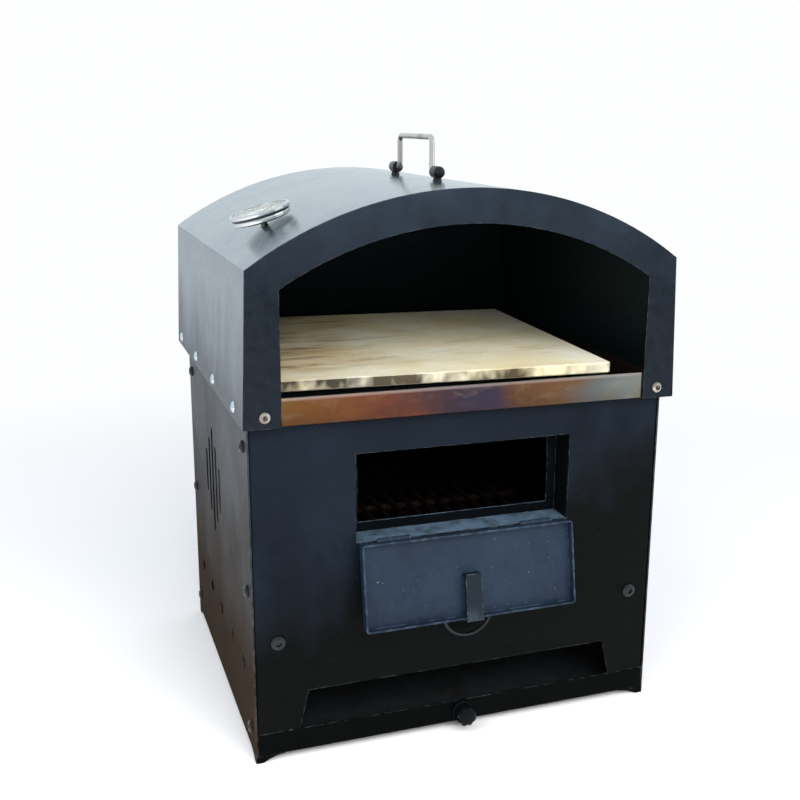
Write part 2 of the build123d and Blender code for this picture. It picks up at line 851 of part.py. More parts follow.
# Stone rails: two channels across the tray that hold the stone up over the fire.
rail_half = fire_gap_width / 2 + rail_landing
stone_y = hood_front_y + stone_front + stone_depth / 2
rail_low = cabinet_top + tray_sheet
with BuildPart() as stone_rails:
    for rail_y in (stone_y - stone_depth / 2 + rail_inset, stone_y + stone_depth / 2 - rail_inset):
        with BuildSketch(sideways(-rail_half)):
            with BuildLine():
                FilletPolyline(
                    (rail_y - stone_rail_width / 2, rail_low),
                    (rail_y - stone_rail_width / 2, stone_z),
                    (rail_y + stone_rail_width / 2, stone_z),
                    (rail_y + stone_rail_width / 2, rail_low),
                    radius=rail_bend,
                )
                offset(amount=sheet, side=Side.RIGHT)
            make_face()
        extrude(amount=2 * rail_half)
finish(stone_rails, "stone_rails")

# Baking stone: a slab with eased edges, narrower than the mouth and laid a little askew.
with BuildPart() as stone:
    with BuildSketch(level(stone_z)):
        with Locations(Location((0, stone_y, 0), (0, 0, stone_turn))):
            RectangleRounded(stone_width, stone_depth, stone_corner)
    extrude(amount=stone_thickness)
    rims = stone.faces().filter_by(Axis.Z).edges()
    chamfer(rims, length=stone_ease)
finish(stone, "baking_stone")

# Rivets along the hood's sides, through the tray's side lips.
with BuildPart() as rivets:
    slope = math.atan2((hood_width - shoulder_width) / 2, shoulder_rise)
    rivet_x = hood_width / 2 - rivet_rise * math.tan(slope)
    for side in (-1, 1):
        for y in rivet_ys:
            seat = Plane(
                (side * rivet_x, y, rivet_z),
                z_dir=(-side * math.cos(slope), 0, -math.sin(slope)),
            )
            with BuildSketch(seat):
                Circle(rivet_head / 2)
            extrude(amount=-rivet_height, taper=rivet_taper)
            with BuildSketch(seat):
                Circle(rivet_shank / 2)
            extrude(amount=rivet_reach)
finish(rivets, "hood_rivets")

# Hood bolts: stainless socket buttons through the hood face into the tray's front lip.
with BuildPart() as hood_bolts:
    with Locations(*[
        Plane((side * hood_bolt_spread / 2, hood_front_y, rivet_z), z_dir=(0, -1, 0))
        for side in (-1, 1)
    ]):
        add(button_screw(hood_bolt_head, button_height, screw_shank, hood_bolt_reach))
finish(hood_bolts, "hood_bolts")

with BuildPart() as hood_bolt_nuts:
    with BuildSketch(facing(tray_front + tray_sheet)):
        with Locations((0, rivet_z)):
            with GridLocations(hood_bolt_spread, 0, 2, 1):
                RegularPolygon(bolt_nut_radius, 6)
                Circle(screw_shank / 2, mode=Mode.SUBTRACT)
    extrude(amount=-bolt_nut_height)
finish(hood_bolt_nuts, "hood_bolt_nuts")

# Handle barrels: a tube along the ridge on a short post, with a stud through the roof.
for number, post_y in enumerate(handle_posts):
    with BuildPart() as barrel:
        with BuildSketch(facing(post_y - barrel_length / 2)):
            with Locations((0, handle_z)):
                Circle(barrel_radius)
        extrude(amount=-barrel_length)
        fillet(barrel.edges().filter_by(GeomType.CIRCLE), radius=barrel_ease)
        with BuildSketch(level(roof_top)):
            with Locations((0, post_y)):
                Rectangle(post_width, post_width)
        extrude(amount=handle_z - roof_top)
        with BuildSketch(level(roof_top)):
            with Locations((0, post_y)):
                Circle(stud_radius)
        extrude(amount=-(hood_sheet + nut_height + stud_spare))
        with BuildSketch(facing(post_y - barrel_length / 2)):
            with Locations((0, handle_z)):
                Circle(handle_rod / 2 + pivot_clearance)
        extrude(amount=-barrel_length, mode=Mode.SUBTRACT)
    finish(barrel, ("handle_barrel_front", "handle_barrel_rear")[number])

# Nuts of the handle's studs, inside the roof.
with BuildPart() as handle_nuts:
    for post_y in handle_posts:
        with BuildSketch(level(roof_top - hood_sheet - nut_gap)):
            with Locations((0, post_y)):
                RegularPolygon(nut_width / 2, 6, major_radius=False)
                Circle(stud_radius, mode=Mode.SUBTRACT)
        extrude(amount=-nut_height)
finish(handle_nuts, "handle_nuts")

# Bail handle: round rod, ends turned outwards into the barrels, standing upright.
with BuildPart() as bail:
    reach = grip_length / 2 + barrel_gap + barrel_length
    with BuildLine(sideways(0)):
        leg = grip_length / 2
        top = handle_z + handle_rise
        low = FilletPolyline(
            (handle_y - reach, handle_z),
            (handle_y - leg, handle_z),
            (handle_y - leg, top),
            (handle_y + leg, top),
            (handle_y + leg, handle_z),
            (handle_y + reach, handle_z),
            radius=handle_bend,
        )
    with BuildSketch(Plane(low @ 0, z_dir=low % 0)):
        Circle(handle_rod / 2)
    sweep()
finish(bail, "bail_handle")

# Thermometer case: a flat drum with a double ridge, a stem through the roof and a probe.
roof_slope = math.asin(-gauge_x / roof_radius)
gauge_lift = gauge_roof_gap + gauge_radius * math.sin(roof_slope - lean)
gauge_base = gauge_foot + gauge_normal * gauge_lift
gauge_plane = Plane(gauge_base, x_dir=(0, -1, 0), z_dir=gauge_normal)
with BuildPart() as gauge_case:
    with BuildSketch(Plane(gauge_base, x_dir=(math.cos(lean), 0, math.sin(lean)), z_dir=(0, -1, 0))):
        with BuildLine():
            ridge = gauge_radius
            waist = gauge_radius - gauge_waist
            cup = gauge_radius - bezel_lip
            groove = gauge_thickness / 2
            neck = -gauge_lift - gauge_stem_length
            Polyline(
                (0, -hood_sheet - gauge_probe_length),
                (gauge_probe, -hood_sheet - gauge_probe_length),
                (gauge_probe, neck),
                (gauge_stem, neck),
                (gauge_stem, 0),
                (waist - 2 * gauge_ridge, 0),
                (ridge - gauge_ridge, gauge_ridge),
                (ridge - gauge_ridge, groove - 1.5 * gauge_ridge),
                (waist, groove - gauge_ridge / 2),
                (waist, groove + gauge_ridge / 2),
                (ridge, groove + 1.5 * gauge_ridge),
                (ridge, gauge_thickness - gauge_ridge),
                (ridge - gauge_ridge, gauge_thickness),
                (cup, gauge_thickness),
                (cup, gauge_floor),
                (0, gauge_floor),
                close=True,
            )
        make_face()
    revolve(axis=Axis(gauge_base, gauge_normal))
    with BuildSketch(gauge_plane.offset(gauge_floor)):
        Circle(spindle_hole)
    extrude(amount=-spindle_depth, mode=Mode.SUBTRACT)
finish(gauge_case, "gauge_case")

# Thermometer dial plate with the spindle's hole.
with BuildPart() as gauge_dial:
    with BuildSketch(gauge_plane.offset(gauge_floor)):
        Circle(gauge_radius - bezel_lip - dial_gap)
        Circle(spindle_hole, mode=Mode.SUBTRACT)
    extrude(amount=dial_sheet)
finish(gauge_dial, "gauge_dial")

# Thermometer pointer on its spindle.
pointer_z = gauge_floor + dial_sheet + pointer_rise
spindle_foot = gauge_floor - spindle_depth + dial_gap
with BuildPart() as gauge_pointer:
    with BuildSketch(gauge_plane.offset(pointer_z)):
        Circle(pointer_hub)
        with BuildLine():
            turn = math.radians(90 + pointer_angle)
            tip = (pointer_length * math.cos(turn), pointer_length * math.sin(turn))
            side_step = (pointer_half * math.sin(turn), -pointer_half * math.cos(turn))
            tail = (-pointer_tail * math.cos(turn), -pointer_tail * math.sin(turn))
            Polyline(
                (tail[0] + side_step[0], tail[1] + side_step[1]),
                tip,
                (tail[0] - side_step[0], tail[1] - side_step[1]),
                close=True,
            )
        make_face()
    extrude(amount=pointer_sheet)
    with BuildSketch(gauge_plane.offset(spindle_foot)):
        Circle(spindle_hole - pivot_clearance)
    extrude(amount=pointer_z - spindle_foot)
finish(gauge_pointer, "gauge_pointer")

# Thermometer glass under the bezel.
with BuildPart() as gauge_glass:
    with BuildSketch(gauge_plane.offset(gauge_thickness - glass_sink)):
        Circle(gauge_radius - bezel_lip - dial_gap)
    extrude(amount=glass_sheet)
finish(gauge_glass, "gauge_glass")

# Thermometer nut, inside the roof.
with BuildPart() as gauge_nut_piece:
    nut_tilt = gauge_nut_width / 2 * math.sin(roof_slope - lean)
    nut_seat = gauge_foot - gauge_normal * (hood_sheet + nut_tilt + gauge_nut_gap)
    with BuildSketch(Plane(nut_seat, z_dir=gauge_normal)):
        RegularPolygon(gauge_nut_width / 2, 6, major_radius=False)
        Circle(gauge_stem, mode=Mode.SUBTRACT)
    extrude(amount=-gauge_nut_height)
finish(gauge_nut_piece, "gauge_nut")
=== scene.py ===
# %% [markdown]
# # An outdoor pizza oven, finished for the shelf
#
# The oven's sheet metal comes as a measured model: every panel, screw and hinge is already in its
# place, in metres, with Z up and the front towards minus Y. This lesson gives it its finishes,
# adds the small things that are easier to make as surfaces than as solids, and photographs it.
# Loading the frame first means that nothing has to be fitted later.

# %% Load the measured oven
import math
import bmesh
import bpy
import numpy as np
from mathutils import Matrix, Vector


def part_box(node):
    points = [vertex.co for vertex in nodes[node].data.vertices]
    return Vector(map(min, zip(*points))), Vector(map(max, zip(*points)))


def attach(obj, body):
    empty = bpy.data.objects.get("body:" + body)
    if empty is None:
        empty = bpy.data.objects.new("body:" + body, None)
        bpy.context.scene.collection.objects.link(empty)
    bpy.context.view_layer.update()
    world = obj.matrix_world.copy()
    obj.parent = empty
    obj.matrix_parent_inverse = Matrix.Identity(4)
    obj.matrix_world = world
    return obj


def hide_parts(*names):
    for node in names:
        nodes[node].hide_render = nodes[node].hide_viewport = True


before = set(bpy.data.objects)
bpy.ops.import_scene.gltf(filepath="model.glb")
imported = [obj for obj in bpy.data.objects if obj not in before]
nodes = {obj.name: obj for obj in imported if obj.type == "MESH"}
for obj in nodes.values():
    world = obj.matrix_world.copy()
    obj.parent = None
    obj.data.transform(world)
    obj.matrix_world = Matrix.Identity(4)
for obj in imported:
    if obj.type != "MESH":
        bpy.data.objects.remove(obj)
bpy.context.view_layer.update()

# %% [markdown]
# ## The camera
#
# The oven was photographed from the front, a little to the left and just above the roof's height,
# from about one metre. The lens and the three turns below repeat that view. The turns act on a
# camera that looks along plus Y, so its own axes are right, forward and up; Blender wants right,
# up and backward, and the last line reorders them.

# %% Set up the camera
def turn(axis, angle):
    """The matrix that turns by this angle, in radians, about X, Y or Z."""
    return Matrix.Rotation(angle, 3, axis)


yaw, pitch, roll = -0.3699, -0.2470, -0.0165
eye = (-0.34814, -1.04258, 0.55499)
aim = turn("Z", yaw) @ turn("X", pitch) @ turn("Y", roll)
right, forward, up = aim.col[0], aim.col[1], aim.col[2]
lens = bpy.data.cameras.new("camera")
lens.sensor_width = 36.0
lens.lens = 49.63
lens.shift_x = -0.0719
lens.shift_y = 0.0013
lens.clip_start = 0.01
lens.dof.use_dof = False
camera = bpy.data.objects.new("camera", lens)
place = Matrix((right, up, -forward)).transposed().to_4x4()
place.translation = eye
camera.matrix_world = place
bpy.context.scene.collection.objects.link(camera)
bpy.context.scene.camera = camera
print("camera looks along", [round(c, 3) for c in forward])

# %% [markdown]
# ## A small language for finishes
#
# A finish is arithmetic on a place: how far down the panel, how near an edge, how blotchy there.
# Written as nodes that is hard to read, so one class wraps a socket and lets plus, minus and times
# add the Math nodes. Colours go through Mix nodes, because a Math node would turn them grey.

# %% Wrap a socket so that arithmetic makes nodes
class Wire:
    """A number, colour or vector that a finish works out at each point of a surface."""

    def __init__(self, finish, socket):
        self.finish = finish
        self.socket = socket

    def maths(self, operation, first, second=0.0, clamp=False):
        links = {0: first, 1: second}
        return self.finish.node("ShaderNodeMath", links, operation=operation, use_clamp=clamp)

    def __add__(self, other):
        return self.maths("ADD", self, other)

    def __sub__(self, other):
        return self.maths("SUBTRACT", self, other)

    def __rsub__(self, other):
        return self.maths("SUBTRACT", other, self)

    def __mul__(self, other):
        return self.maths("MULTIPLY", self, other)

    def __abs__(self):
        return self.maths("ABSOLUTE", self)

    __radd__ = __add__
    __rmul__ = __mul__

    def most(self, other):
        """The larger of the two."""
        return self.maths("MAXIMUM", self, other)

    def clamped(self):
        """Held between 0 and 1."""
        return self.maths("ADD", self, 0.0, clamp=True)

    def power(self, exponent):
        return self.maths("POWER", self, exponent)

    def rise(self, start, end):
        """0 before start, 1 after end, straight between."""
        if start < end:
            return self.maths("MULTIPLY", self - start, 1 / (end - start), clamp=True)
        return self.maths("MULTIPLY", start - self, 1 / (start - end), clamp=True)


class Finish:
    """A procedural material: one Principled shader and the nodes that feed it."""

    def __init__(self, name, **settings):
        self.material = bpy.data.materials.new(name)
        self.material.use_nodes = True
        self.tree = self.material.node_tree
        self.shader = self.tree.nodes["Principled BSDF"]
        for socket, value in settings.items():
            self.set(socket.replace("_", " "), value)
        place = self.tree.nodes.new("ShaderNodeTexCoord")
        self.at = Wire(self, place.outputs["Object"])
        self.facing = Wire(self, place.outputs["Normal"])

    def node(self, kind, links, output=0, stops=None, **settings):
        """Add a node: its settings first, then each input's value or link; gives one output."""
        made = self.tree.nodes.new(kind)
        for key, value in settings.items():
            setattr(made, key, value)
        if stops:
            ramp = made.color_ramp
            while len(ramp.elements) < len(stops):
                ramp.elements.new(0.5)
            for element, (position, colour) in zip(ramp.elements, stops):
                element.position = position
                element.color = (*colour, 1.0)
        for key, value in links.items():
            self.join(made.inputs[key], value)
        return Wire(self, made.outputs[output])

    def join(self, socket, value):
        """Link a wire to a socket, or set the socket to a value."""
        if isinstance(value, Wire):
            self.tree.links.new(value.socket, socket)
        elif isinstance(value, (tuple, list)) and len(value) == 3 and socket.type == "RGBA":
            socket.default_value = (*value, 1.0)
        else:
            socket.default_value = value

    def set(self, socket, value):
        self.join(self.shader.inputs[socket], value)

    def axes(self, wire=None):
        """X, Y and Z of a vector, the place by default."""
        split = self.tree.nodes.new("ShaderNodeSeparateXYZ")
        self.tree.links.new((wire or self.at).socket, split.inputs[0])
        return [Wire(self, output) for output in split.outputs]

    def noise(self, scale, detail=3.0, rough=0.5, stretch=(1, 1, 1), warp=0.0):
        """Cloudy values round 0.5; scale is blotches per metre."""
        where = self.node(
            "ShaderNodeMapping", {"Vector": self.at, "Scale": tuple(float(s) for s in stretch)}
        )
        links = {"Vector": where, "Scale": scale, "Detail": detail, "Roughness": rough}
        links["Distortion"] = warp
        return self.node("ShaderNodeTexNoise", links)

    def mix(self, amount, first, second):
        """first where amount is 0, second where it is 1; both colours."""
        links = {0: amount, 6: first, 7: second}
        return self.node("ShaderNodeMix", links, output=2, data_type="RGBA")

    def ramp(self, wire, stops):
        """A colour that runs through the stops, each a position and a colour."""
        return self.node("ShaderNodeValToRGB", {0: wire}, stops=stops)

    def edges(self, radius):
        """1 at sharp edges, 0 on flats: how far a rounded normal leans from the true one."""
        soft = self.node("ShaderNodeBevel", {"Radius": radius}, samples=6)
        true = self.tree.nodes.new("ShaderNodeNewGeometry")
        links = {0: soft, 1: Wire(self, true.outputs["Normal"])}
        match = self.node(
            "ShaderNodeVectorMath", links, output="Value", operation="DOT_PRODUCT"
        )
        return (1.0 - match).rise(0.02, 0.25)

    def bump(self, height, strength=0.3, distance=0.001, eased=0.0):
        """Relief from a height value; eased rounds the sharp edges by that radius."""
        links = {"Height": height, "Strength": strength, "Distance": distance}
        if eased:
            links["Normal"] = self.node("ShaderNodeBevel", {"Radius": eased}, samples=6)
        self.set("Normal", self.node("ShaderNodeBump", links))


def scaled(colour, factor, lift=0.0):
    """The colour, brighter or darker by a factor and lifted by a little."""
    return tuple(c * factor + lift for c in colour)


def grey(red, green, blue):
    """A colour read off as 0 to 255 and turned to the linear value that a shader takes."""
    values = np.array([red, green, blue]) / 255
    linear = np.where(values <= 0.04045, values / 12.92, ((values + 0.055) / 1.055) ** 2.4)
    return tuple(float(v) for v in linear)


print("a mid grey", grey(128, 128, 128))

# %% [markdown]
# ## Black stove paint
#
# The cabinet, hood and door are folded sheet steel in satin black stove paint. From the front such
# paint is nearly black with a cold tone, and at a glancing view it mirrors the sky, which is why a
# roof that is black looks pale. A low reflection level keeps the face dark while the glancing
# reflection stays. Blotches in the gloss, a fine orange-peel relief and metal that shows along
# rubbed edges make it paint and not a black shape; on the door and the casing that edge colour is
# also a painted highlight. A second colour low down is painted shade on the front panel, and on
# the hood's face it leaves a lighter top that is a painted sheen; on the sides, the hood and the
# door it only makes the paint darker towards the bottom, browner on the sides, and on the strap
# lighter at its foot. The casing's faces that look up take a painted reflection of the sky.

# %% Make the satin black paints
bare_steel = grey(128, 132, 136)
soot = (0.0014, 0.0014, 0.0015)


def stove_paint(name, colour, low_colour=None, low=None, gloss=0.36, low_gloss=0.0, wear=0.5,
                inside=None, bare=bare_steel, sheen=0.0, sky_lit_top=None, flecks=0.0,
                lean=0.0, relief=0.28, coat=0.0, **settings):
    """Satin paint: blotchy colour and gloss; bare edges are wear, on some paints also a painted
    highlight.

    The colour turns to low_colour between the two heights of low, from the upper one down;
    lean lifts that band towards plus X by its slope. On the front panel the band is painted shade,
    and on the hood's face the lighter colour above it is a painted sheen. inside is a mask of the
    sooty inner side.
    sheen is a patchy clear coat that ends where the low colour begins, and coat an even one
    that thins there. sky_lit_top is a painted sky reflection on faces that look up."""
    paint = Finish(name, **settings)
    x, z = paint.axes()[::2]
    cloud = paint.noise(11, 5, 0.62, warp=0.3)
    fine = paint.noise(150, 3, 0.55)
    speck = paint.noise(800, 2, 0.5)
    streaks = paint.noise(60, 3, 0.6, stretch=(1.0, 1.0, 0.16))
    base = paint.mix(cloud.rise(0.3, 0.72), scaled(colour, 0.72), scaled(colour, 1.3))
    down = 0.0
    rough = gloss + (cloud - 0.5) * 0.26 + (fine - 0.5) * 0.14 + (streaks - 0.5) * 0.10
    if low_colour:
        level = z - x * lean + (cloud - 0.5) * 0.10 + (streaks - 0.5) * 0.06
        down = (1.0 - level.rise(*low)).clamped()
        # The low band: painted shade on the front panel, under a painted sheen on the hood's face;
        # on the other paints only a change of colour towards the bottom.
        low_band = paint.mix(fine.rise(0.3, 0.75), low_colour, scaled(low_colour, 1.7))
        base = paint.mix(down, base, low_band)
        rough = rough + down * low_gloss
        if sheen:
            paint.set("Coat Weight", ((1.0 - down) * sheen * cloud.rise(0.1, 0.6)).clamped())
    # Faces that look up get a lighter colour in streaks: a painted reflection of the sky.
    if sky_lit_top:
        top_light = paint.axes(paint.facing)[2].rise(0.3, 0.7)
        base = paint.mix(top_light * (0.35 + streaks.rise(0.3, 0.6) * 0.65), base, sky_lit_top)
    if flecks:
        chips = paint.noise(650, 2, 0.4).rise(0.76, 0.78)
        base = paint.mix(chips * flecks, base, grey(150, 158, 162))
    # Bare metal along the edges: wear, and on the door and the casing also a painted edge
    # highlight.
    worn_and_lit_edges = paint.edges(0.0011) * fine.rise(0.44, 0.64) * wear
    base = paint.mix(worn_and_lit_edges, base, bare)
    if inside:
        sooty = inside(paint)
        base = paint.mix(sooty, base, soot)
        rough = rough + sooty * 0.5
        if coat:
            paint.set("Coat Weight", (1.0 - sooty) * (1.0 - down * 0.8) * coat)
    paint.set("Base Color", base)
    paint.set("Roughness", rough.clamped())
    paint.bump(speck * 0.45 + fine * 0.55, relief, 0.0005, eased=0.0006)
    return paint.material


hood_middle_y, hood_middle_z = 0.017, 0.36


def inside_hood(paint):
    """1 on faces that look towards the hood's middle: the soot-black inside."""
    x, y, z = paint.axes()
    facing_x, facing_y, facing_z = paint.axes(paint.facing)
    outward = x * facing_x + (y - hood_middle_y) * facing_y + (z - hood_middle_z) * facing_z
    return (0.0 - outward).rise(0.0, 0.02)


def inside_cabinet(paint):
    """1 on faces that look inwards, to the fire."""
    x, y = paint.axes()[:2]
    facing_x, facing_y = paint.axes(paint.facing)[:2]
    return (0.0 - (x * facing_x + y * facing_y)).rise(0.0, 0.02)


# The front's low colour is painted shade, reaching higher towards plus X.
front_paint = stove_paint(
    "front_paint", grey(17, 24, 33), grey(4, 5, 5), (0.165, 0.25), 0.34, 0.20,
    inside=inside_cabinet, flecks=0.25, lean=0.32, Specular_IOR_Level=0.06,
)
side_paint = stove_paint(
    "side_paint", grey(36, 42, 48), grey(40, 29, 19), (0.07, 0.29), 0.42, 0.40,
    inside=inside_cabinet, sheen=0.32, Specular_IOR_Level=0.035, Coat_Roughness=0.3,
)
# On the hood's face the lighter upper colour is a painted sheen at the arch.
face_paint = stove_paint(
    "hood_face_paint", grey(32, 40, 49), grey(15, 20, 26), (0.40, 0.52), 0.32, wear=0.35,
    inside=inside_hood, Specular_IOR_Level=0.09,
)
hood_paint = stove_paint(
    "hood_paint", grey(25, 42, 55), grey(11, 20, 27), (0.32, 0.41), 0.28, 0.18, wear=0.3,
    inside=inside_hood, relief=0.07, coat=1.0, Coat_Roughness=0.22,
    Specular_IOR_Level=0.6, Specular_Tint=(0.58, 0.90, 1.0, 1.0),
)
# The door's lighter edges are wear and a painted edge highlight.
door_paint = stove_paint(
    "door_paint", grey(33, 45, 60), grey(20, 30, 42), (0.11, 0.22), 0.42, wear=1.0,
    bare=grey(96, 116, 134), flecks=0.6, Specular_IOR_Level=0.15,
)
strap_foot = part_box("door_strap")[0][2]
strap_paint = stove_paint(
    "strap_paint", grey(18, 25, 32), grey(62, 74, 82), (strap_foot - 0.04, strap_foot + 0.028),
    0.4, wear=1.0, bare=grey(110, 126, 138), Specular_IOR_Level=0.15,
)
# The casing's lighter top is a painted sky reflection; its lighter edges are wear and a painted
# highlight.
casing_paint = stove_paint(
    "casing_paint", grey(8, 11, 14), gloss=0.42, wear=0.9, sky_lit_top=grey(78, 98, 116),
    bare=grey(84, 100, 114), Specular_IOR_Level=0.05,
)
strip_paint = stove_paint(
    "strip_paint", grey(4, 5, 5), gloss=0.5, wear=0.3, flecks=0.3, Specular_IOR_Level=0.03,
)
print("paints", [m.name for m in bpy.data.materials if m.name.endswith("_paint")])

# %% [markdown]
# ## Stainless tray, tinted by heat
#
# The shelf tray is bare stainless steel. Heat draws oxide colours across its front lip, from straw
# and brown on the hot left to purple and blue, and leaves silver at the cool right end. The tint is
# a ramp along X that a slow noise pulls out of straight, over fine brushing that runs along X. A
# painted highlight lies along the lip's top and edges, and a patchy painted shade along its foot.

# %% Make the tinted tray steel
def tinted_tray():
    """Polished stainless: temper colours along X, a sooty floor, painted shade and highlights on
    the lip.
    """
    steel = Finish("tinted_steel")
    x, y, z = steel.axes()
    cloud = steel.noise(8, 4, 0.6, warp=0.6)
    blot = steel.noise(30, 4, 0.6, stretch=(1.0, 1.0, 2.4), warp=0.5)
    brush = steel.noise(50, 3, 0.6, stretch=(0.5, 16, 16))
    heat = x.rise(-0.2, 0.2) + (cloud - 0.5) * 0.26 + (blot - 0.5) * 0.16
    tint = steel.ramp(heat, [
        (0.0, grey(92, 70, 38)), (0.15, grey(94, 60, 32)), (0.30, grey(88, 50, 36)),
        (0.42, grey(58, 43, 48)), (0.50, grey(46, 42, 58)), (0.60, grey(80, 54, 38)),
        (0.72, grey(98, 70, 46)), (0.79, grey(88, 92, 92)), (0.88, grey(108, 112, 108)),
        (0.93, grey(124, 104, 78)), (1.0, grey(132, 110, 84)),
    ])
    # Painted highlight along the lip's top; painted shade, in patches, along its foot.
    lip_top_highlight = z.rise(0.3322, 0.334)
    lip_foot_shade = 1.0 - z.rise(0.312, 0.328)
    shade = (blot * 0.6 + cloud * 0.4).rise(0.36, 0.60)
    tint = steel.mix(lip_foot_shade * 0.6 * shade, tint, grey(34, 24, 17))
    tint = steel.mix(blot.rise(0.52, 0.7) * 0.22, tint, grey(140, 112, 84))
    tint = steel.mix(lip_top_highlight * 0.35, tint, grey(170, 156, 150))
    back = y.rise(-0.1795, -0.172)
    base = steel.mix((back * (0.8 + cloud * 0.2)).clamped(), tint, grey(17, 15, 15))
    # A painted highlight along the edges in front of the sooty floor.
    rim_highlight = steel.edges(0.0012) * (1.0 - back)
    base = steel.mix(rim_highlight * 0.4, base, grey(206, 200, 196))
    steel.set("Base Color", base)
    steel.set("Metallic", (0.92 - back * 0.5).clamped())
    rough = 0.20 + (brush - 0.5) * 0.2 + (blot - 0.5) * 0.14 + back * 0.4
    steel.set("Roughness", rough.clamped())
    steel.bump(brush * 0.4 + blot * 0.6, 0.10, 0.0004, eased=0.0008)
    return steel.material


tray_steel = tinted_tray()
print("tray steel", len(tray_steel.node_tree.nodes), "nodes")

# %% [markdown]
# ## Baking stone
#
# The stone is pressed cordierite: beige, matt and a little gritty, with fine dark specks. A used
# stone carries scorched patches and smears of soot. Its front face is darkest, in patches that
# are scorch and a painted shadow. Two noises at different scales make the patches, and a third the
# grit.

# %% Make the stone
stone_slope = 0.0437


def cordierite():
    """Beige stone: soft warm blotches, grit, brown smears to the left, scorch and painted shadow in
    front.
    """
    stone = Finish("stone", Specular_IOR_Level=0.25)
    x, y = stone.axes()[:2]
    facing_y = stone.axes(stone.facing)[1]
    cloud = stone.noise(9, 4, 0.55, warp=0.4)
    smear = stone.noise(11, 4, 0.5, stretch=(1.0, 1.8, 1.0))
    patch = stone.noise(26, 3, 0.55, stretch=(1.0, 0.2, 0.7))
    grit = stone.noise(620, 2, 0.6)
    base = stone.mix(cloud.rise(0.35, 0.68), grey(250, 248, 228), grey(230, 214, 164))
    base = stone.mix(grit.rise(0.60, 0.70) * 0.3, base, grey(134, 112, 82))
    leftish = 1.0 - (x + (smear - 0.5) * 0.16).rise(-0.15, -0.02)
    behind = (y + (smear - 0.5) * 0.04).rise(-0.125, -0.085)
    base = stone.mix(leftish * (0.12 + behind * 0.34), base, grey(176, 136, 84))
    grain = stone.noise(16, 5, 0.65, stretch=(1.0, 4.0, 1.0), warp=0.2)
    burns = (grain + leftish * 0.10).rise(0.52, 0.70) * (0.26 + leftish * 0.5) * behind
    base = stone.mix(burns, base, grey(104, 70, 34))
    edge = (0.0 - facing_y).rise(0.6, 0.8)
    # The front face: scorch patches and a painted shadow, nearly black.
    scorch_and_shadow = (patch + leftish * 0.06).rise(0.42, 0.60) * edge
    base = stone.mix(scorch_and_shadow * 0.94, base, grey(16, 14, 12))
    lip = (1.0 - (y + stone_slope * x).rise(-0.147, -0.128)) * smear.rise(0.4, 0.62)
    base = stone.mix(lip * 0.2, base, grey(150, 118, 78))
    stone.set("Base Color", base)
    stone.set("Roughness", (0.84 + (cloud - 0.5) * 0.2).clamped())
    stone.bump(grit * 0.7 + smear * 0.5, 0.3, 0.0006, eased=0.001)
    return stone.material


stone_finish = cordierite()
print("stone", len(stone_finish.node_tree.nodes), "nodes")

# %% [markdown]
# ## Bright and plain metals
#
# The rod handle and the hood's two bolts are stainless; the rivets are a paler, cooler steel; the
# thermometer's case is chromed; nuts are zinc plated; the ring is dull drawn wire; the screws are
# blackened. The grate is mild steel, browned by the fire, and the drawer and rails are grey steel
# under soot. One function covers them: each differs in colour, gloss, the scale of its stains and
# how much of the surface they take. Two masks paint shade into the case's groove, onto the stem
# under the case and into the bolts' sockets.

# %% Make the metals
def bare_metal(name, colour, gloss, stain, stained, scale, metallic=1.0, relief=0.1,
               painted_shade=None):
    """Bare metal with stains in patches, uneven gloss, a fine relief, and painted shade by a mask.
    """
    metal = Finish(name)
    cloud = metal.noise(scale, 4, 0.6, warp=0.3)
    fine = metal.noise(scale * 14, 2, 0.5)
    spots = cloud.rise(0.68 - stained * 0.5, 0.78)
    base = metal.mix(spots, colour, stain)
    if painted_shade:
        # Painted shade: a dark grey where the mask is 1.
        base = metal.mix(painted_shade(metal) * 0.92, base, grey(26, 25, 25))
    metal.set("Base Color", base)
    metal.set("Roughness", (gloss + (fine - 0.5) * 0.2 + spots * 0.25).clamped())
    metal.set("Metallic", (metallic - spots * 0.35 * metallic).clamped())
    metal.bump(fine, relief, 0.0003, eased=0.0004)
    return metal.material


dial_low, dial_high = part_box("gauge_dial")
dial_centre = (np.array(dial_low) + np.array(dial_high)) / 2
dial_lean = math.radians(17.0)
dial_normal = np.array([-math.sin(dial_lean), 0.0, math.cos(dial_lean)])
bolt_x, bolt_z = 0.182, 0.321


def gauge_shade(metal):
    """Painted shade: 1 in the case's groove, at the dial's level, and on the stem under the case.
    """
    x, z = metal.axes()[::2]
    along_x, along_z = float(dial_normal[0]), float(dial_normal[2])
    level = x * along_x + z * along_z - float(dial_normal @ dial_centre)
    groove = 1.0 - abs(level + 0.0003).rise(0.0005, 0.0009)
    return groove.most(level.rise(-0.0060, -0.0066))


def socket_shade(metal):
    """Painted shade: 1 in the hood bolts' hexagon sockets, measured from the bolts' axes."""
    x, z = metal.axes()[::2]
    across = abs(x) - bolt_x
    up = z - bolt_z
    return 1.0 - (across * across + up * up).power(0.5).rise(0.0016, 0.0022)


